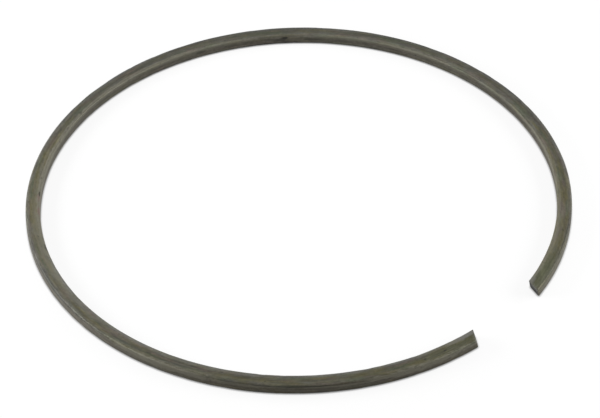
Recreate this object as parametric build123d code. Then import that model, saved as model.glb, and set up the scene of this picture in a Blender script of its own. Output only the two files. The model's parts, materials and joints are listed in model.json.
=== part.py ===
from build123d import *
from math import cos, degrees, radians, tan
import os

# Internal snap ring: one length of rectangular spring wire, coiled to an open ring.
# Lengths are in millimetres and angles in degrees. The origin is on the ring's axis at
# half its thickness, +Z is the axis, and the gap between the ends is centred on -Y.

# Section of the wire, with the rounded corners of rolled stock
RADIAL_WIDTH = 3.5
THICKNESS = 2.8
CORNER_RADIUS = 0.52

# The ring as it lies free, out of its groove
OUTER_RADIUS = 65.0
GAP_ANGLE = 19.5
GAP_DIRECTION = -90.0

# One shear cuts both ends: its blade stands off the radius, and leans off the axis
SHEAR_SLANT = 30.0
SHEAR_LEAN = 15.0
END_EDGE_RADIUS = 0.18

WIRE_CENTRE_RADIUS = OUTER_RADIUS - RADIAL_WIDTH / 2
FIRST_END, SECOND_END = -1, 1

# How far along the wire a cut runs, to each side of the wire's middle
SLANT_REACH = RADIAL_WIDTH / 2 * tan(radians(SHEAR_SLANT))
LEAN_REACH = THICKNESS / 2 * tan(radians(SHEAR_LEAN)) / cos(radians(SHEAR_SLANT))
CUT_REACH = SLANT_REACH + LEAN_REACH

# The spare wire that the shear takes off each end, from the middle of its cut
OFFCUT_LENGTH = CUT_REACH + THICKNESS / 2


def coiled_wire():
    """The wire bent round the axis, longer at each end by what the shear takes off."""
    section = RectangleRounded(RADIAL_WIDTH, THICKNESS, CORNER_RADIUS)
    standing = Plane.XZ * Pos(WIRE_CENTRE_RADIUS, 0) * section
    spare = degrees(OFFCUT_LENGTH / WIRE_CENTRE_RADIUS)
    start = Rot(0, 0, GAP_DIRECTION + GAP_ANGLE / 2 - spare)
    return revolve(start * standing, axis=Axis.Z, revolution_arc=360 - GAP_ANGLE + 2 * spare)


def shear_plane(end):
    """The blade's plane through the middle of the wire at one end, facing into the gap."""
    direction = GAP_DIRECTION + end * GAP_ANGLE / 2
    across_wire = Rot(0, 0, direction) * Pos(WIRE_CENTRE_RADIUS, 0, 0)
    blade = across_wire * Rot(0, 0, -SHEAR_SLANT) * Rot(SHEAR_LEAN, 0, 0)
    return Plane(blade * Rot(end * 90, 0, 0))


def offcut_space(end):
    """A block on the gap's side of the cut that takes in all of the spare wire there."""
    depth = CUT_REACH + OFFCUT_LENGTH
    side = 2 * (RADIAL_WIDTH + THICKNESS)
    return shear_plane(end) * Box(side, side, depth, align=(Align.CENTER, Align.CENTER, Align.MIN))


def cut_face(ring, end):
    """The flat face that the shear leaves at one end."""
    return ring.faces().sort_by_distance(shear_plane(end).origin)[0]


def snap_ring():
    """The coiled wire, cut off at both ends and tumbled until the cut edges are rounded."""
    ring = coiled_wire()
    for end in (FIRST_END, SECOND_END):
        ring -= offcut_space(end)
        ring = fillet(cut_face(ring, end).edges(), END_EDGE_RADIUS)
    return ring


os.makedirs("parts", exist_ok=True)
export_step(snap_ring(), "parts/snap_ring.step")
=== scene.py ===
import json
import math

import bpy
import numpy as np
from mathutils import Matrix, Vector


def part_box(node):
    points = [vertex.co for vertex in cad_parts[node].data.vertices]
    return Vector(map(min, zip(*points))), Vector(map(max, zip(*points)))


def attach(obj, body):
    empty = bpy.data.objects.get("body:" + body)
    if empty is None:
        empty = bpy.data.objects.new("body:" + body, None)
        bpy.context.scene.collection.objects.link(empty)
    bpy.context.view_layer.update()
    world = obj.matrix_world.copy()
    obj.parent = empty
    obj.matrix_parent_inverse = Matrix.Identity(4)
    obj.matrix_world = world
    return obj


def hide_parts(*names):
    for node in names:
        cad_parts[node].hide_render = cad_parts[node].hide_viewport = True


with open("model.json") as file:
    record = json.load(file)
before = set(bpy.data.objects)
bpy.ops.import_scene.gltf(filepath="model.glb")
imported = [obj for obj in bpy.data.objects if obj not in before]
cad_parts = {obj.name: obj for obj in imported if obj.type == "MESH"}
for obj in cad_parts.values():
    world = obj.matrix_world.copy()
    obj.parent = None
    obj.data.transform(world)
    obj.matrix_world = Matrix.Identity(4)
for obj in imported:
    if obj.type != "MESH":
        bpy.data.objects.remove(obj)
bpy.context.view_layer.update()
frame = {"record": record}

# An open ring of rectangular spring wire, olive-grey from its oxide and oil and rubbed
# brighter along its corners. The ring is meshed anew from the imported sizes, with the marks
# that drawing, coiling, shearing and handling leave on it. A place on the wire is given in
# millimetres, as how far along it lies from the wire's start, how far out from the wire's
# middle circle, and how high above it.

MM = 0.001

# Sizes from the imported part
MOUNTS = {mount["name"]: mount["dims"] for mount in frame["record"]["mounts"]}
RING_LOW, RING_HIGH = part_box("snap_ring")
OUTER_RADIUS = MOUNTS["groove_rim"]["r_mm"]
INNER_RADIUS = MOUNTS["clear_bore"]["r_mm"]
CENTRE_RADIUS = (OUTER_RADIUS + INNER_RADIUS) / 2
HALF_WIDTH = (OUTER_RADIUS - INNER_RADIUS) / 2
THICKNESS = (RING_HIGH.z - RING_LOW.z) / MM
HALF_THICKNESS = THICKNESS / 2
CORNER_RADIUS = (THICKNESS - MOUNTS["groove_rim"]["length_mm"]) / 2

# The two sheared ends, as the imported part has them. The wire runs counter-clockwise from its
# start, on the positive side of the gap's middle, round to its stop, on the negative side.
START, STOP = 1, -1
GAP_DIRECTION = math.radians(-90)
GAP_ANGLE = math.radians(19.5)
SHEAR_SLANT = math.radians(30)
SHEAR_LEAN = math.radians(15)
END_EDGE_RADIUS = 0.18
WIRE_LENGTH = CENTRE_RADIUS * (2 * math.pi - GAP_ANGLE)

# Mesh grid of the wire
STATION_STEP = 0.32
FLAT_STEPS = 12
WALL_STEPS = 9
CORNER_STEPS = 5
END_ROUND_STEPS = 3
END_FACE_RINGS = 10

# Unevenness of the wire's surface: depth, cell size along and round the wire, and seed
WAVES = (0.010, 22.0, 3.5, 1)
LUMPS = (0.006, 2.6, 1.1, 2)
GRAIN = (0.004, 0.8, 0.45, 3)
DIE_LINES = (0.003, 60.0, 0.28, 4)

# Hollows in the corners, given in the same way, where their noise is above the level
CORNER_DINGS = (0.060, 2.4, 2.0, 6)
CORNER_FLATS = (0.050, 9.0, 3.0, 7)
BITE_LEVEL = 0.6

# Dents that the photograph shows: place along, out and up, half length, breadth and depth
SHOWN_DENTS = [
    (251.4, -1.6, 1.3, 1.3, 0.35, 0.10),
    (26.3, 1.65, 1.3, 1.9, 0.3, 0.08),
    (25.2, -1.7, 1.2, 1.6, 0.3, 0.06),
    (243.2, 1.65, 1.25, 1.0, 0.3, 0.07),
    (138.0, -1.7, -1.2, 1.1, 0.4, 0.06),
]

# Small dents strewn along the corners, and the limits of their places and sizes
STRAY_DENTS = 70
STRAY_SEED = 5
STRAY_ALONG = (2, WIRE_LENGTH - 2)
STRAY_OUT = (HALF_WIDTH - 0.2, HALF_WIDTH)
STRAY_UP = (HALF_THICKNESS - 0.25, HALF_THICKNESS - 0.1)
STRAY_LENGTH = (0.3, 0.9)
STRAY_BREADTH = (0.15, 0.3)
STRAY_DEPTH = (0.02, 0.06)

# The torn half of a cut: the limits of its depth, the seed of its unevenness, and how steeply
# the depth grows from the rim and fades to the middle
TORN_DEPTH = (0.01, 0.05)
TORN_SEED = 20
TORN_FROM_RIM = 3
TORN_TO_MIDDLE = 2

# Marks set as the photograph shows them: place along, out and up, half length, breadth
# and strength. These are the dark stains, with two strips of painted shade.
STAINS_AND_SHADE = [
    # Faint streaks on the top face
    (113.0, -0.85, 1.4, 11.0, 0.45, 0.10),
    (140.0, -0.8, 1.4, 62.0, 0.55, 0.13),
    (178.0, -0.9, 1.4, 20.0, 0.45, 0.16),
    (190.0, -0.3, 1.4, 24.0, 0.8, 0.22),
    # Streaks along the outer corner
    (18.0, 1.55, 1.35, 18.0, 0.38, 0.5),
    (34.0, 1.7, 1.1, 12.0, 0.3, 0.35),
    (235.0, 1.7, 1.1, 16.0, 0.45, 0.35),
    (264.0, 1.65, 1.15, 24.0, 0.45, 0.5),
    (334.0, 1.72, 0.90, 13.0, 0.18, 0.6),
    # The nick at the back, on the inner wall, the dirt round it, and painted shade along the
    # inner wall's lower edge
    # Painted shade: a dark strip along the lower edge of the inner wall
    (126.0, -1.7, -1.15, 7.0, 0.3, 0.5),
    (136.0, -1.65, 1.25, 8.0, 0.35, 0.25),
    (136.5, -1.7, -1.2, 6.0, 0.6, 0.75),
    (136.8, -1.75, 0.5, 0.8, 0.6, 0.95),
    (137.0, -1.75, 0.2, 1.1, 1.0, 0.6),
    (138.6, -1.75, -0.2, 1.6, 0.5, 0.5),
    # Painted shade: a dark strip along the lower edge of the inner wall
    (141.5, -1.7, -1.1, 6.5, 0.35, 0.75),
    # Spots on the inner wall
    (107.0, -1.75, 0.0, 2.8, 0.35, 0.35),
    (129.5, -1.75, -0.2, 2.4, 0.4, 0.4),
    (159.5, -1.75, 0.3, 1.6, 0.4, 0.5),
    # Flecks on the top face
    (200.1, -0.95, 1.4, 0.7, 0.45, 0.45),
    (206.8, -1.2, 1.4, 0.6, 0.3, 0.35),
    (226.6, -1.06, 1.4, 0.5, 0.25, 0.45),
    (232.3, -1.42, 1.38, 0.9, 0.28, 0.7),
    (298.3, 0.29, 1.4, 0.6, 0.3, 0.45),
    (309.3, -0.25, 1.4, 1.3, 0.3, 0.4),
    (362.5, 0.45, 1.4, 0.4, 0.25, 0.8),
    (367.6, 0.27, 1.4, 0.4, 0.25, 0.8),
    # Grime at the edge of the start's cut, and in the corners, mostly in their dents
    (0.0, -1.75, 0.5, 0.7, 1.0, 1.0),
    (23.5, 1.72, 1.15, 0.6, 0.3, 0.8),
    (25.5, -1.75, 0.9, 2.6, 0.3, 0.65),
    (26.5, 1.7, 1.1, 2.2, 0.3, 0.75),
    (243.0, 1.7, 1.2, 1.2, 0.3, 0.6),
    (252.0, -1.55, 1.3, 1.6, 0.35, 0.7),
]

# Places that are rubbed paler, and one painted highlight, given in the same way
RUBS_AND_HIGHLIGHT = [
    # Inner corner
    (14.0, -1.35, 1.4, 24.0, 0.7, 0.5),
    (50.0, -1.75, 1.0, 16.0, 0.6, 0.88),
    (74.0, -1.75, 1.0, 12.0, 0.5, 0.35),
    (101.0, -1.7, 1.1, 14.0, 0.45, 0.65),
    (121.0, -1.7, 1.0, 14.0, 0.45, 0.4),
    (153.0, -1.7, 1.0, 9.0, 0.45, 0.4),
    (169.0, -1.7, 1.05, 14.0, 0.5, 0.5),
    (188.0, -1.5, 1.3, 34.0, 0.6, 0.6),
    (195.0, -1.7, 0.9, 32.0, 0.7, 0.35),
    (217.0, -1.75, 1.0, 10.0, 0.5, 0.6),
    (230.0, -1.65, 1.35, 32.0, 0.8, 1.0),
    (267.0, -1.75, 1.0, 11.0, 0.5, 0.45),
    (318.0, -1.5, 1.4, 55.0, 0.6, 0.3),
    # Outer corner and outer wall
    (14.0, 1.8, 0.2, 14.0, 0.9, 0.3),
    (128.0, 1.75, 1.3, 40.0, 0.5, 0.52),
    # Painted highlight: a pale patch on the upper outer wall that stands for the left lamp's light
    (304.0, 1.75, 0.7, 17.0, 0.9, 0.65),
    (320.0, 1.78, 0.6, 16.0, 0.45, 0.45),
    (342.0, 1.78, 0.55, 10.0, 0.4, 0.5),
    (362.0, 1.75, 0.7, 16.0, 0.9, 0.80),
    # Inner wall at the back
    (95.0, -1.8, 0.6, 22.0, 0.45, 0.25),
    (166.0, -1.8, 0.6, 16.0, 0.45, 0.28),
    # Top face
    (19.0, -0.4, 1.4, 11.0, 0.9, 0.22),
    (252.0, -0.4, 1.4, 34.0, 0.8, 0.34),
    (371.5, -1.0, 1.4, 4.5, 0.9, 0.5),
]

# Places on the top face with a pink flush, given in the same way
FLUSHES = [
    (233.8, -1.35, 1.4, 1.4, 0.45, 0.8),
    (238.8, -1.45, 1.4, 1.6, 0.45, 0.9),
]

# Places near the cuts that are worn to a pale grey, given in the same way
END_GREYS = [
    (0.0, 0.2, 1.35, 0.7, 1.9, 0.3),
    (0.8, -1.1, 1.4, 1.8, 0.9, 0.5),
    (374.0, -1.1, 1.4, 3.6, 0.9, 0.75),
    (375.9, 0.2, 1.35, 0.7, 1.9, 0.35),
]

# Places on the top face with an olive film, given in the same way
OLIVES = [
    (5.0, 0.3, 1.4, 9.0, 1.7, 0.9),
    (370.0, 0.6, 1.4, 9.0, 1.2, 0.6),
]


def shear_cut(end):
    """A point on one end's cut, the cut's normal, pointing into the gap, and the end's angle."""
    angle = GAP_DIRECTION + end * GAP_ANGLE / 2
    turn = Matrix.Rotation(angle - SHEAR_SLANT, 3, "Z") @ Matrix.Rotation(SHEAR_LEAN, 3, "X")
    point = Vector((math.cos(angle), math.sin(angle), 0)) * CENTRE_RADIUS
    return point, turn @ Vector((0, -end, 0)), angle


def cut_angle(end, radius, height):
    """The angle at which a circle of that radius and height meets the cut at one end."""
    point, normal, angle = shear_cut(end)
    level = normal.dot(point) - normal.z * height
    swing = math.hypot(normal.x, normal.y)
    facing = math.atan2(normal.y, normal.x)
    spread = np.arccos(level / (swing * radius))
    options = np.stack([facing + spread, facing - spread])
    away = np.abs(np.mod(options - angle + math.pi, 2 * math.pi) - math.pi)
    chosen = np.where(away[0] < away[1], options[0], options[1])
    return np.mod(chosen - GAP_DIRECTION, 2 * math.pi) + GAP_DIRECTION


def outline(inset=0.0):
    """The wire's section as points (out, up), counter-clockwise from the outer wall's top."""
    corner = CORNER_RADIUS - inset
    middle_out = HALF_WIDTH - CORNER_RADIUS
    middle_up = HALF_THICKNESS - CORNER_RADIUS
    middles = [(middle_out, middle_up), (-middle_out, middle_up)]
    middles += [(-middle_out, -middle_up), (middle_out, -middle_up)]
    runs = [FLAT_STEPS, WALL_STEPS, FLAT_STEPS, WALL_STEPS]
    points = []
    for quarter in range(4):
        turns = math.pi / 2 * (quarter + np.linspace(0, 1, CORNER_STEPS + 1))
        around = corner * np.stack([np.cos(turns), np.sin(turns)], 1)
        arc = np.array(middles[quarter]) + around
        next_start = np.array(middles[(quarter + 1) % 4]) + around[-1]
        shares = np.linspace(0, 1, runs[quarter] + 1)[1:-1, None]
        points.extend(arc)
        points.extend(arc[-1] + (next_start - arc[-1]) * shares)
    return np.array(points)


def outline_normals(points):
    """The section's outward normal at each of its points."""
    ahead = np.roll(points, -1, 0) - np.roll(points, 1, 0)
    normals = np.stack([ahead[:, 1], -ahead[:, 0]], 1)
    return normals / np.linalg.norm(normals, axis=1, keepdims=True)


def outline_distance(points):
    """How far round the section each point lies, and the whole way round."""
    steps = np.linalg.norm(np.roll(points, -1, 0) - points, axis=1)
    return np.concatenate([[0], np.cumsum(steps)[:-1]]), steps.sum()


def eased(share):
    """A share from 0 to 1 that starts and stops gently."""
    return share ** 2 * (3 - 2 * share)


def uneven(along, around, girth, layer):
    """Smooth noise from 0 to twice the layer's depth over the wire, closed round its section."""
    depth, cell_along, cell_around, seed = layer
    rng = np.random.default_rng(seed)
    columns = max(2, round(girth / cell_around))
    rows = int(along.max() / cell_along) + 3
    values = rng.uniform(0, 2 * depth, (rows, columns))
    row = along / cell_along
    column = around / girth * columns
    row_floor = np.floor(row).astype(int)
    column_floor = np.floor(column).astype(int)
    row_share = eased(row - row_floor)
    column_share = eased(column - column_floor)

    def corner(row_step, column_step):
        return values[row_floor + row_step, (column_floor + column_step) % columns]

    near = corner(0, 0) * (1 - column_share) + corner(0, 1) * column_share
    far = corner(1, 0) * (1 - column_share) + corner(1, 1) * column_share
    return near * (1 - row_share) + far * row_share


def bites(along, around, girth, layer):
    """Sparse hollows, up to the layer's depth, only where its noise, from 0 to 1, runs high."""
    depth, cell_along, cell_around, seed = layer
    noise = uneven(along, around, girth, (1 / 2, cell_along, cell_around, seed))
    return depth * np.clip((noise - BITE_LEVEL) / (1 - BITE_LEVEL), 0, 1)


def corner_share(out, up):
    """From 0 on the flats and walls to 1 on the middle of a rounded corner."""
    side = np.clip((np.abs(out) - HALF_WIDTH + CORNER_RADIUS) / CORNER_RADIUS, 0, 1)
    top = np.clip((np.abs(up) - HALF_THICKNESS + CORNER_RADIUS) / CORNER_RADIUS, 0, 1)
    return np.clip(2 * side * top, 0, 1)


def all_dents():
    """The dents that the photograph shows, and small ones strewn along the corners."""
    rng = np.random.default_rng(STRAY_SEED)
    dents = list(SHOWN_DENTS)
    for _ in range(STRAY_DENTS):
        along = rng.uniform(*STRAY_ALONG)
        out = rng.choice([-1, 1]) * rng.uniform(*STRAY_OUT)
        up = rng.choice([-1, 1]) * rng.uniform(*STRAY_UP)
        sizes = [rng.uniform(*limits) for limits in (STRAY_LENGTH, STRAY_BREADTH, STRAY_DEPTH)]
        dents.append((along, out, up, *sizes))
    return dents


def wire_relief(along, around, girth, out, up):
    """How deep the worn surface lies below the true section, at each point of the wire."""
    relief = sum(uneven(along, around, girth, layer) for layer in (WAVES, LUMPS, GRAIN, DIE_LINES))
    worn = sum(bites(along, around, girth, layer) for layer in (CORNER_DINGS, CORNER_FLATS))
    relief += worn * corner_share(out, up)
    for dent_along, dent_out, dent_up, length, breadth, depth in all_dents():
        across = ((out - dent_out) ** 2 + (up - dent_up) ** 2) / breadth ** 2
        relief += depth * np.exp(-across - ((along - dent_along) / length) ** 2)
    return relief


def wire_stations():
    """Where the rows of points stand along the wire, and how far each is set in at the ends."""
    turns = np.linspace(0, math.pi / 2, END_ROUND_STEPS + 1)[1:]
    set_back = END_EDGE_RADIUS * (1 - np.sin(turns))
    set_in = END_EDGE_RADIUS * (1 - np.cos(turns))
    straight = WIRE_LENGTH - 2 * END_EDGE_RADIUS
    middle = END_EDGE_RADIUS + np.linspace(0, straight, round(straight / STATION_STEP) + 1)
    stations = np.concatenate([set_back[::-1], middle, WIRE_LENGTH - set_back])
    insets = np.concatenate([set_in[::-1], np.zeros(len(middle)), set_in])
    return stations, insets


def wire_skin():
    """The wire's long surface: rows of points, each as (along, out, up), and their angles."""
    stations, insets = wire_stations()
    section = outline()
    normals = outline_normals(section)
    around, girth = outline_distance(section)
    sections = np.array([outline(inset) if inset else section for inset in insets])
    out, up = sections[..., 0], sections[..., 1]
    along = np.repeat(stations[:, None], len(section), 1)
    start = cut_angle(START, CENTRE_RADIUS + out, up)
    stop = cut_angle(STOP, CENTRE_RADIUS + out, up)
    angle = start + (stop - start) * along / WIRE_LENGTH
    relief = wire_relief(along, np.broadcast_to(around, along.shape), girth, out, up)
    out = out - relief * normals[:, 0]
    up = up - relief * normals[:, 1]
    return np.stack([along, out, up], -1), angle


def cut_rings(end, rim):
    """Rings of points that close one end, shrinking from the skin's rim towards the middle."""
    rng = np.random.default_rng(TORN_SEED + end)
    for ring in range(1, END_FACE_RINGS):
        share = 1 - ring / END_FACE_RINGS
        place = rim * np.array([1, share, share])
        angle = cut_angle(end, CENTRE_RADIUS + place[:, 1], place[:, 2])
        torn = np.clip(0.5 - place[:, 2] / THICKNESS, 0, 1)
        fade = min(1, TORN_FROM_RIM * (1 - share), TORN_TO_MIDDLE * share)
        sunk = torn * rng.uniform(*TORN_DEPTH, len(place)) * fade
        yield place, angle + end * sunk / CENTRE_RADIUS


def cut_cap(end, rim, rim_numbers, count):
    """The points that close one end, their angles and their faces, with count points before."""
    places, angles, faces = [], [], []
    outer = rim_numbers
    for place, angle in cut_rings(end, rim):
        inner = count + np.arange(len(rim))
        faces += quads(inner, outer) if end == START else quads(outer, inner)
        places.append(place)
        angles.append(angle)
        outer = inner
        count += len(rim)
    middle = np.array([[rim[0, 0], 0, 0]])
    places.append(middle)
    angles.append(cut_angle(end, CENTRE_RADIUS + middle[:, 1], middle[:, 2]))
    fan = zip(outer.tolist(), np.roll(outer, -1).tolist())
    faces += [(b, a, count) if end == START else (a, b, count) for a, b in fan]
    return np.concatenate(places), np.concatenate(angles), faces


def quads(first, second):
    """Faces between two closed rows of point numbers, or between two stacks of such rows."""
    corners = [first, np.roll(first, -1, -1), np.roll(second, -1, -1), second]
    return np.stack(corners, -1).reshape(-1, 4).tolist()


def ring_points():
    """All points of the ring's mesh, their angles, whether each is on a cut, and its faces."""
    skin, skin_angle = wire_skin()
    rows, columns = skin_angle.shape
    numbers = np.arange(rows * columns).reshape(rows, columns)
    places, angles = skin.reshape(-1, 3), skin_angle.ravel()
    faces = quads(numbers[:-1], numbers[1:])
    for end, row in ((START, 0), (STOP, rows - 1)):
        cap_places, cap_angles, cap_faces = cut_cap(end, skin[row], numbers[row], len(places))
        places = np.concatenate([places, cap_places])
        angles = np.concatenate([angles, cap_angles])
        faces += cap_faces
    on_cut = np.arange(len(places)) >= rows * columns
    return places, angles, on_cut.astype(float), faces


def make_ring():
    """The ring as one closed mesh that knows its places on the wire and its cut faces."""
    places, angles, on_cut, faces = ring_points()
    radius = CENTRE_RADIUS + places[:, 1]
    points = np.stack([radius * np.cos(angles), radius * np.sin(angles), places[:, 2]], 1) * MM
    mesh = bpy.data.meshes.new("snap_ring_wire")
    mesh.from_pydata(points.tolist(), [], faces)
    mesh.polygons.foreach_set("use_smooth", np.ones(len(mesh.polygons), bool))
    wire_place = mesh.attributes.new("wire_place", "FLOAT_VECTOR", "POINT")
    wire_place.data.foreach_set("vector", places.ravel())
    cut_face = mesh.attributes.new("cut_face", "FLOAT", "POINT")
    cut_face.data.foreach_set("value", on_cut)
    mesh.update()
    mesh.materials.append(spring_steel())
    ring = bpy.data.objects.new("snap_ring_wire", mesh)
    bpy.context.scene.collection.objects.link(ring)
    return ring


# The range that nearly all of a noise node's values lie in
NOISE_RANGE = (0.3, 0.7)


class Nodes:
    """A node tree, with short calls to add to it."""

    def __init__(self, tree):
        self.tree = tree
        self.tree.nodes.clear()

    def add(self, kind, inputs=None, **settings):
        node = self.tree.nodes.new(kind)
        for key, value in settings.items():
            setattr(node, key, value)
        for key, value in (inputs or {}).items():
            self.feed(node.inputs[key], value)
        return node

    def feed(self, socket, value):
        if isinstance(value, bpy.types.NodeSocket):
            self.tree.links.new(value, socket)
        else:
            socket.default_value = value

    def math(self, operation, *values, clamp=False):
        node = self.add("ShaderNodeMath", operation=operation, use_clamp=clamp)
        for socket, value in zip(node.inputs, values):
            self.feed(socket, value)
        return node.outputs[0]

    def vector(self, operation, *values):
        node = self.add("ShaderNodeVectorMath", operation=operation)
        for socket, value in zip(node.inputs, values):
            self.feed(socket, value)
        return node.outputs["Value" if operation == "LENGTH" else "Vector"]

    def noise(self, place, cell, detail, roughness, seed):
        """Noise whose cells have these lengths along, out and up."""
        moved = self.vector("ADD", self.vector("DIVIDE", place, cell), (seed, seed, seed))
        inputs = {"Vector": moved, "Scale": 1.0, "Detail": detail, "Roughness": roughness}
        return self.add("ShaderNodeTexNoise", inputs).outputs["Fac"]

    def ramp(self, value, stops):
        """The grey that these stops, each a position and a grey, give to the value."""
        node = self.add("ShaderNodeValToRGB", {"Fac": value})
        elements = node.color_ramp.elements
        while len(elements) < len(stops):
            elements.new(0.5)
        for element, (position, grey) in zip(elements, stops):
            element.position = position
            element.color = (grey, grey, grey, 1)
        return node.outputs["Color"]

    def between(self, value, low, high, to_low=0.0, to_high=1.0):
        """The value, taken from one range to another and held inside it."""
        inputs = {"Value": value, "From Min": low, "From Max": high}
        inputs.update({"To Min": to_low, "To Max": to_high})
        return self.add("ShaderNodeMapRange", inputs).outputs["Result"]

    def spread(self, noise, low, high):
        """A noise that runs from low to high."""
        return self.between(noise, *NOISE_RANGE, low, high)

    def mix(self, factor, a, b, blend="MIX"):
        node = self.add("ShaderNodeMix", data_type="RGBA", blend_type=blend)
        self.feed(node.inputs["Factor"], factor)
        first, second = [socket for socket in node.inputs if socket.type == "RGBA"]
        self.feed(first, a)
        self.feed(second, b)
        return next(socket for socket in node.outputs if socket.type == "RGBA")

    def times(self, a, b):
        return self.mix(1.0, a, b, "MULTIPLY")

    def blend_shaders(self, factor, first, second):
        """The first shader where the factor is 0, and the second where it is 1."""
        node = self.add("ShaderNodeMixShader", {"Fac": factor})
        self.feed(node.inputs[1], first)
        self.feed(node.inputs[2], second)
        return node.outputs["Shader"]


# Colours of the wire's oxide and oil, of its worn places and of its cuts, and of the painted
# sheen, highlight and shade
COOL = (0.101, 0.0995, 0.0810, 1)
STRAW = (0.109, 0.0995, 0.0530, 1)
BROWN = (0.117, 0.0985, 0.0790, 1)
GREEN = (0.092, 0.1015, 0.0670, 1)
OLIVE = (0.0945, 0.0985, 0.0600, 1)
# Painted sheen: a neutral grey that stands for a grazing reflection on the top's edges
EDGE_SHEEN = (0.105, 0.1055, 0.1010, 1)
WALL_BROWN = (0.108, 0.0980, 0.0795, 1)
# Bare steel of the rubbed places, also used for one painted highlight
BARE_AND_HIGHLIGHT = (0.162, 0.155, 0.121, 1)
FLUSH = (0.165, 0.127, 0.106, 1)
# The dark of the stains and pits, also used for the painted shade along the lower edges
DARK_STAIN_AND_SHADE = (0.026, 0.025, 0.022, 1)
CUT_SMOOTH = (0.094, 0.0930, 0.0850, 1)
# The dark lower part of a cut
CUT_DARK_LOW = (0.022, 0.0215, 0.0200, 1)
END_GREY = (0.140, 0.1380, 0.1260, 1)

# Drift from the start of the wire, at 0, to its stop, at 1: how straw-coloured the oxide is; how
# pale the wire is, partly a drift of the oxide and partly painted light and shade, paler on the
# left of the ring and darker towards the camera; and how strong the painted sheen on the top's
# inner and outer edges is
ALONG_STRAW = [
    (0.0, 1.0), (0.10, 0.9), (0.17, 0.2), (0.52, 0.2),
    (0.62, 1.0), (0.71, 0.3), (0.88, 0.5), (1.0, 1.0),
]
# Painted light and shade on top of a drift of the oxide: paler on the left, darker towards the
# camera
ALONG_TONE_AND_SHADE = [
    (0.0, 1.0), (0.10, 0.98), (0.18, 0.86), (0.46, 0.83),
    (0.62, 1.10), (0.71, 1.12), (0.81, 0.92), (1.0, 0.84),
]
ALONG_SHEEN_INSIDE = [
    (0.0, 0.7), (0.02, 0.2), (0.09, 0.2), (0.50, 0.15),
    (0.62, 0.35), (0.70, 0.6), (0.90, 0.9), (1.0, 0.8),
]
ALONG_SHEEN_OUTSIDE = [
    (0.0, 0.2), (0.07, 0.55), (0.13, 0.8), (0.50, 1.0),
    (0.62, 0.65), (0.72, 0.6), (0.78, 0.1),
]

# Brightness from the inner edge of the wire, at 0, to its outer edge, at 1, and on the walls
ACROSS_TONE = [
    (0.03, 1.08), (0.12, 1.06), (0.20, 0.97), (0.31, 0.83),
    (0.44, 0.70), (0.64, 0.68), (0.82, 0.81),
]
WALL_TONE = (0.79, 0.79, 0.79, 1)

# Noises of the steel: cell lengths along, out and up, detail, roughness and seed
CLOUDS = ((5.0, 1.2, 1.2), 2.0, 0.6, 0.0)
BROWN_STREAKS = ((6.0, 1.0, 1.0), 2.0, 0.6, 37.0)
GREEN_STREAKS = ((7.0, 1.1, 1.1), 2.0, 0.6, 71.0)
SHEEN_PATCHES = ((4.0, 0.8, 0.8), 2.0, 0.6, 29.0)
ROLLED_LINES = ((17.0, 0.45, 0.45), 3.0, 0.6, 11.0)
MOTTLE = ((3.0, 0.8, 0.8), 2.0, 0.6, 19.0)
SPECKLE = ((0.7, 0.4, 0.4), 3.0, 0.65, 23.0)
RUBBED_PATCHES = ((5.0, 1.2, 1.2), 3.0, 0.6, 67.0)
LOW_SHADE_PATCHES = ((8.0, 1.5, 1.5), 3.0, 0.6, 83.0)
CUT_GRAIN = ((0.5, 0.3, 0.3), 3.0, 0.6, 91.0)

# Where in its noise's range each kind of patch starts and is full, and what is left between
BROWN_SPAN = (0.50, 0.66)
GREEN_SPAN = (0.52, 0.68)
SHEEN_SPAN = (0.35, 0.60)
SHEEN_LEAST = 0.5
RUBBED_SPAN = (0.40, 0.62)
LOW_SHADE_SPAN = (0.40, 0.62)
LOW_SHADE_LEAST = 0.35

# The ragged outline of a mark: cell lengths, detail and roughness of its noise, how far that
# moves the outline, and where the mark starts and is full, as shares of its half size
MARK_NOISE = ((1.6, 0.5, 0.5), 3.0, 0.65)
MARK_RAGGED = 0.4
MARK_START, MARK_FULL = 1.1, 0.6

# How far the clouds shift the straw colour, and how much of the other colours comes through
STRAW_SHIFT = 0.6
STREAK_STRENGTH = 0.85
WALL_BROWNING = 0.65

# How far in from the walls the painted sheen on the edges starts and is full, and the same for
# the look of a wall, in from the wall itself and from the top and bottom
SHEEN_INSIDE_DEPTHS = (1.4, 0.6)
SHEEN_OUTSIDE_DEPTHS = (1.3, 0.5)
WALL_SIDE_DEPTHS = (0.4, 0.1)
# Painted light: the fade from the top starts well below the corner, so the upper part of each
# wall, most of all the inner one, is painted paler, as if it faced the light. The same fade
# towards the bottom is offset by the painted shade on the lower edges.
WALL_HEIGHT_DEPTHS = (0.35, 1.05)

# How much the die lines, the mottle, the speckle and a cut's grain darken and brighten
LINES_SPREAD = (0.93, 1.41)
MOTTLE_SPREAD = (0.81, 1.19)
SPECKLE_SPREAD = (0.80, 1.20)
CUT_SPREAD = (0.75, 1.25)

# Painted shade on the lower edges of the walls, where they meet the floor: the heights where it
# starts and is full, and how strong it gets
LOW_SHADE_HEIGHTS = (-0.6, -1.1)
LOW_SHADE_STRENGTH = 0.55

# Pits: cell lengths, the chance value above which a cell's pit is more than a faint point, and
# a pit's largest radius, soft edge and strength
PIT_CELL = (1.3, 1.0, 1.0)
PIT_CHANCE = 0.6
PIT_RADIUS = 0.2
PIT_EDGE = (0.03, -0.06)
PIT_STRENGTH = 0.6

# A cut: the heights between which its smooth upper part turns dark towards the bottom, and how
# ragged that line is
SMOOTH_HEIGHT, CUT_DARK_HEIGHT = 0.7, -0.3
CUT_DARK_RAGGED = 0.4

# How much of the bare steel shows on all corners, and how much smoother they are
CORNER_BARE = 0.25
CORNER_POLISH = -0.06

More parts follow.
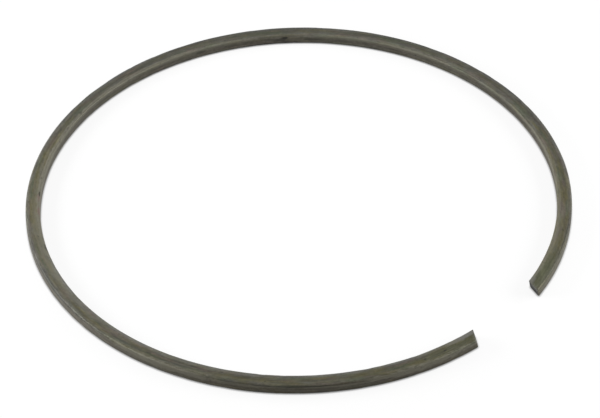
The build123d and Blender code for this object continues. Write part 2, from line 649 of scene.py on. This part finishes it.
# Surface of the steel
ROUGHNESS_SPREAD = (0.46, 0.60)
METALLIC = 0.25
SPECULAR = 0.1
ANISOTROPY = 0.6
LINES_HEIGHT = 0.5
SPECKLE_HEIGHT = 0.8
STAIN_AND_SHADE_DEPTH = 0.5
BUMP_STRENGTH = 0.35
BUMP_DISTANCE = 0.04 * MM


def patches(n, place, noise, span, least=0.0, most=1.0):
    """From least to most as this noise rises through the span."""
    return n.between(n.noise(place, *noise), *span, least, most)


def below_faces(n, value, half, start, full=0.0):
    """From 0 to 1 between two depths below the faces that lie at plus and minus half."""
    return n.between(n.math("ABSOLUTE", value), half - start, half - full)


def marks(n, place, rows, seed):
    """How strongly the marks in these rows cover each place, with ragged edges."""
    ragged = n.spread(n.noise(place, *MARK_NOISE, seed), -MARK_RAGGED, MARK_RAGGED)
    mask = 0.0
    for along, out, up, length, breadth, strength in rows:
        offset = n.vector("SUBTRACT", place, (along, out, up))
        reach = n.vector("LENGTH", n.vector("DIVIDE", offset, (length, breadth, breadth)))
        cover = n.between(n.math("ADD", reach, ragged), MARK_START, MARK_FULL, 0.0, strength)
        mask = n.math("MAXIMUM", mask, cover)
    return mask


def edge_sheen(n, place, out, along_share):
    """How strong the painted sheen is near the top's inner and outer edge, a grey that stands
    for a grazing reflection.
    """
    start, full = SHEEN_INSIDE_DEPTHS
    inside = n.between(out, start - HALF_WIDTH, full - HALF_WIDTH)
    start, full = SHEEN_OUTSIDE_DEPTHS
    outside = n.between(out, HALF_WIDTH - start, HALF_WIDTH - full)
    inside = n.math("MULTIPLY", inside, n.ramp(along_share, ALONG_SHEEN_INSIDE))
    outside = n.math("MULTIPLY", outside, n.ramp(along_share, ALONG_SHEEN_OUTSIDE))
    patchy = patches(n, place, SHEEN_PATCHES, SHEEN_SPAN, SHEEN_LEAST)
    return n.math("MULTIPLY", n.math("MAXIMUM", inside, outside), patchy)


def oxide_tint_and_sheen(n, place, out, along_share, wall):
    """Cloudy streaks of near colours, a few millimetres long, browner on the walls, with the
    painted sheen on the edges.
    """
    shift = n.spread(n.noise(place, *CLOUDS), -STRAW_SHIFT, STRAW_SHIFT)
    straw = n.math("ADD", n.ramp(along_share, ALONG_STRAW), shift)
    tint = n.mix(n.between(straw, 0.0, 1.0), COOL, STRAW)
    brown = patches(n, place, BROWN_STREAKS, BROWN_SPAN, most=STREAK_STRENGTH)
    tint = n.mix(brown, tint, BROWN)
    green = patches(n, place, GREEN_STREAKS, GREEN_SPAN, most=STREAK_STRENGTH)
    tint = n.mix(green, tint, GREEN)
    tint = n.mix(marks(n, place, OLIVES, seed=43.0), tint, OLIVE)
    tint = n.mix(edge_sheen(n, place, out, along_share), tint, EDGE_SHEEN)
    return n.mix(n.math("MULTIPLY", wall, WALL_BROWNING), tint, WALL_BROWN)


def rolled_tone_and_shade(n, place, out, along_share, wall, lines, speckle):
    """Brightness: rubbed at the inner edge and dull further out, with die lines and mottle, and
    painted light and shade along the ring.
    """
    across = n.ramp(n.between(out, -HALF_WIDTH, HALF_WIDTH), ACROSS_TONE)
    tone = n.times(n.mix(wall, across, WALL_TONE), n.ramp(along_share, ALONG_TONE_AND_SHADE))
    tone = n.times(tone, n.spread(lines, *LINES_SPREAD))
    tone = n.times(tone, n.spread(n.noise(place, *MOTTLE), *MOTTLE_SPREAD))
    return n.times(tone, n.spread(speckle, *SPECKLE_SPREAD))


def wall_mask(n, out, up):
    """1 on the inner and the outer wall, fading out towards the corners. Where it fades, a wall
    takes the paler look of the top's edges: painted light on its upper part.
    """
    side = below_faces(n, out, HALF_WIDTH, *WALL_SIDE_DEPTHS)
    height = below_faces(n, up, HALF_THICKNESS, *WALL_HEIGHT_DEPTHS)
    return n.math("MULTIPLY", side, height)


def corner_mask(n, place, out, up):
    """Up to 1 on the middle of a rounded corner, in patches, and 0 on the flats and walls."""
    side = below_faces(n, out, HALF_WIDTH, CORNER_RADIUS)
    top = below_faces(n, up, HALF_THICKNESS, CORNER_RADIUS)
    corner = n.math("MULTIPLY", n.math("MULTIPLY", side, top), 2.0, clamp=True)
    return n.math("MULTIPLY", corner, patches(n, place, RUBBED_PATCHES, RUBBED_SPAN))


def low_edge_shade(n, place, out, up):
    """How much painted shade darkens the lower edges of the walls, where they meet the floor."""
    side = below_faces(n, out, HALF_WIDTH, CORNER_RADIUS)
    low = n.between(up, *LOW_SHADE_HEIGHTS, 0.0, LOW_SHADE_STRENGTH)
    patchy = patches(n, place, LOW_SHADE_PATCHES, LOW_SHADE_SPAN, LOW_SHADE_LEAST)
    return n.math("MULTIPLY", n.math("MULTIPLY", side, low), patchy)


def pits(n, place):
    """Small dark pits all over."""
    cells = n.add("ShaderNodeTexVoronoi", {
        "Vector": n.vector("DIVIDE", place, PIT_CELL), "Scale": 1.0, "Randomness": 1.0})
    chance = n.add("ShaderNodeSeparateColor", {"Color": cells.outputs["Color"]}).outputs["Red"]
    radius = n.between(chance, PIT_CHANCE, 1.0, 0.0, PIT_RADIUS)
    beyond = n.math("SUBTRACT", cells.outputs["Distance"], radius)
    return n.between(beyond, *PIT_EDGE, 0.0, PIT_STRENGTH)


def all_stains_and_shade(n, place, out, up):
    """How dark the stains, the painted shade on the lower edges and the pits make each place."""
    stain_and_shade = n.math("MAXIMUM", marks(n, place, STAINS_AND_SHADE, seed=53.0), low_edge_shade(n, place, out, up))
    return n.math("MAXIMUM", stain_and_shade, pits(n, place))


def cut_tone(n, place, up):
    """A sheared face: smooth where the blade went in, and darker towards the bottom."""
    grain = n.noise(place, *CUT_GRAIN)
    height = n.math("ADD", up, n.spread(grain, -CUT_DARK_RAGGED, CUT_DARK_RAGGED))
    face = n.mix(n.between(height, SMOOTH_HEIGHT, CUT_DARK_HEIGHT), CUT_SMOOTH, CUT_DARK_LOW)
    return n.times(face, n.spread(grain, *CUT_SPREAD))


def steel_bump(n, lines, speckle, stain_and_shade):
    """The finest relief: die lines and speckle, sunk where there is a stain or painted shade."""
    fine = n.math("ADD", n.math("MULTIPLY", lines, LINES_HEIGHT),
                  n.math("MULTIPLY", speckle, SPECKLE_HEIGHT))
    height = n.math("SUBTRACT", fine, n.math("MULTIPLY", stain_and_shade, STAIN_AND_SHADE_DEPTH))
    inputs = {"Height": height, "Strength": BUMP_STRENGTH, "Distance": BUMP_DISTANCE}
    return n.add("ShaderNodeBump", inputs).outputs["Normal"]


def spring_steel():
    """Drawn spring wire under oxide and oil, with a shine that is brushed along it."""
    material = bpy.data.materials.new("spring_steel")
    material.use_nodes = True
    n = Nodes(material.node_tree)
    place = n.add("ShaderNodeAttribute", attribute_name="wire_place").outputs["Vector"]
    cut = n.add("ShaderNodeAttribute", attribute_name="cut_face").outputs["Fac"]
    along, out, up = n.add("ShaderNodeSeparateXYZ", {"Vector": place}).outputs
    along_share = n.between(along, 0.0, WIRE_LENGTH)
    lines, speckle = n.noise(place, *ROLLED_LINES), n.noise(place, *SPECKLE)
    wall = wall_mask(n, out, up)
    corner = corner_mask(n, place, out, up)
    stain_and_shade = all_stains_and_shade(n, place, out, up)

    tone = n.times(oxide_tint_and_sheen(n, place, out, along_share, wall),
                   rolled_tone_and_shade(n, place, out, along_share, wall, lines, speckle))
    bare_and_highlight = n.math("MAXIMUM", n.math("MULTIPLY", corner, CORNER_BARE),
                  marks(n, place, RUBS_AND_HIGHLIGHT, seed=61.0))
    tone = n.mix(bare_and_highlight, tone, BARE_AND_HIGHLIGHT)
    tone = n.mix(marks(n, place, FLUSHES, seed=47.0), tone, FLUSH)
    tone = n.mix(marks(n, place, END_GREYS, seed=31.0), tone, END_GREY)
    tone = n.mix(cut, tone, cut_tone(n, place, up))
    tone = n.mix(stain_and_shade, tone, DARK_STAIN_AND_SHADE)

    roughness = n.math("ADD", n.spread(speckle, *ROUGHNESS_SPREAD),
                       n.math("MULTIPLY", corner, CORNER_POLISH))
    brushed = n.add("ShaderNodeTangent", direction_type="RADIAL", axis="Z")
    shader = n.add("ShaderNodeBsdfPrincipled", {
        "Base Color": tone,
        "Roughness": roughness,
        "Metallic": METALLIC,
        "Specular IOR Level": SPECULAR,
        "Anisotropic": ANISOTROPY,
        "Tangent": brushed.outputs["Tangent"],
        "Normal": steel_bump(n, lines, speckle, stain_and_shade),
    })
    n.add("ShaderNodeOutputMaterial", {"Surface": shader.outputs["BSDF"]})
    return material


# Floor, in metres: how far its corners lie from the axis, and in which directions. It is white
# to the camera, and pale to the light that it throws back. Up to the first shadow reach the
# camera also sees a little of how the floor is lit, with the ring's soft shadow, and from the
# second one on it sees the glow alone.
FLOOR_REACH = 40.0
FLOOR_TURNS = (90, 210, 330)
FLOOR_PALE = (0.55, 0.55, 0.55, 1)
WHITE = (1.0, 1.0, 1.0, 1)
FLOOR_GLOW = 0.87
SHADOW_REACH = (1.4 * OUTER_RADIUS * MM, 3 * OUTER_RADIUS * MM)
CREVICE_REACH = 0.5 * MM
CREVICE_SAMPLES = 8


def seen_directly(n):
    """1 for the rays that show a surface: from the camera, off a gloss or through glass."""
    path = n.add("ShaderNodeLightPath")
    seen = n.math("MAXIMUM", path.outputs["Is Camera Ray"], path.outputs["Is Glossy Ray"])
    return n.math("MAXIMUM", seen, path.outputs["Is Transmission Ray"])


def white_paper():
    """Soft white paper. It glows less in the crevice under the ring, so that stays dark."""
    material = bpy.data.materials.new("white_paper")
    material.use_nodes = True
    n = Nodes(material.node_tree)
    seen = seen_directly(n)
    from_axis = n.vector("LENGTH", n.add("ShaderNodeNewGeometry").outputs["Position"])
    glow_share = n.between(from_axis, *SHADOW_REACH, FLOOR_GLOW, 1.0)
    paper = n.add("ShaderNodeBsdfDiffuse", {"Color": n.mix(seen, FLOOR_PALE, WHITE)})
    open_sky = n.add("ShaderNodeAmbientOcclusion", {"Distance": CREVICE_REACH},
                     samples=CREVICE_SAMPLES)
    glow = n.add("ShaderNodeEmission", {"Color": open_sky.outputs["Color"], "Strength": 1.0})
    shader = n.blend_shaders(n.math("MULTIPLY", seen, glow_share),
                             paper.outputs["BSDF"], glow.outputs["Emission"])
    n.add("ShaderNodeOutputMaterial", {"Surface": shader})
    return material


def make_floor():
    """One large triangle, so that no seam between faces runs under the ring."""
    turns = [math.radians(turn) for turn in FLOOR_TURNS]
    corners = [(FLOOR_REACH * math.cos(turn), FLOOR_REACH * math.sin(turn), RING_LOW.z)
               for turn in turns]
    mesh = bpy.data.meshes.new("floor")
    mesh.from_pydata(corners, [], [(0, 1, 2)])
    mesh.materials.append(white_paper())
    floor = bpy.data.objects.new("floor", mesh)
    bpy.context.scene.collection.objects.link(floor)


# Camera, as the photograph was taken: where it stands and where it looks
CAMERA_AZIMUTH = math.radians(-47.95)
CAMERA_ELEVATION = math.radians(40.96)
CAMERA_ROLL = math.radians(-1.255)
CAMERA_DISTANCE = 9.98 * OUTER_RADIUS * MM
CAMERA_LENS = 163.1
SENSOR_WIDTH = 36.0
AIM_RIGHT = 0.34 * MM
AIM_DOWN = 2.865 * MM
CLIP_START = 10 * MM


def towards(azimuth, elevation):
    """The direction from the ring to a place round it; azimuth 0 is the camera's side."""
    turned = CAMERA_AZIMUTH + azimuth
    level = math.cos(elevation)
    return Vector((math.sin(turned) * level, -math.cos(turned) * level, math.sin(elevation)))


def make_camera():
    """The camera, aimed a little beside the middle of the ring."""
    facing = towards(0, CAMERA_ELEVATION)
    stand = facing * CAMERA_DISTANCE
    roll = Matrix.Rotation(CAMERA_ROLL, 3, facing)
    right = roll @ Vector((math.cos(CAMERA_AZIMUTH), math.sin(CAMERA_AZIMUTH), 0))
    up = facing.cross(right)
    back = (stand - right * AIM_RIGHT + up * AIM_DOWN).normalized()
    right = up.cross(back).normalized()
    data = bpy.data.cameras.new("camera")
    data.lens = CAMERA_LENS
    data.sensor_width = SENSOR_WIDTH
    data.clip_start = CLIP_START
    camera = bpy.data.objects.new("camera", data)
    turn = Matrix((right, back.cross(right), back)).transposed().to_4x4()
    camera.matrix_world = Matrix.Translation(stand) @ turn
    bpy.context.scene.collection.objects.link(camera)
    bpy.context.scene.camera = camera


# Lamps: azimuth from the camera and elevation in degrees, distance and size in metres, and
# power in watts. The room itself shines as strongly as AMBIENT says.
SOFTBOXES = {
    "top_softbox": (180, 60, 0.80, (0.80, 0.80), 1.40),
    "left_softbox": (-91, 19, 0.30, (0.27, 0.12), 1.12),
    "right_softbox": (91, 19, 0.32, (0.28, 0.12), 1.00),
}
AMBIENT = 0.3


def softbox(name, azimuth, elevation, distance, size, power):
    """An area lamp that faces the ring."""
    direction = towards(math.radians(azimuth), math.radians(elevation))
    data = bpy.data.lights.new(name, "AREA")
    data.shape = "RECTANGLE"
    data.size, data.size_y = size
    data.energy = power
    lamp = bpy.data.objects.new(name, data)
    lamp.location = direction * distance
    lamp.rotation_mode = "QUATERNION"
    lamp.rotation_quaternion = direction.to_track_quat("Z", "Y")
    lamp.visible_camera = False
    bpy.context.scene.collection.objects.link(lamp)


def make_room():
    """A dim even room, which shows as white."""
    world = bpy.data.worlds.new("studio")
    bpy.context.scene.world = world
    world.use_nodes = True
    n = Nodes(world.node_tree)
    room = n.add("ShaderNodeBackground", {"Color": WHITE, "Strength": AMBIENT})
    backdrop = n.add("ShaderNodeBackground", {"Color": WHITE, "Strength": 1.0})
    either = n.blend_shaders(seen_directly(n), room.outputs["Background"],
                             backdrop.outputs["Background"])
    n.add("ShaderNodeOutputWorld", {"Surface": either})


ring = make_ring()
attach(ring, "root")
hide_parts("snap_ring")
make_floor()
make_camera()
for lamp_name, lamp_setting in SOFTBOXES.items():
    softbox(lamp_name, *lamp_setting)
make_room()
bpy.context.scene.view_settings.view_transform = "Standard"
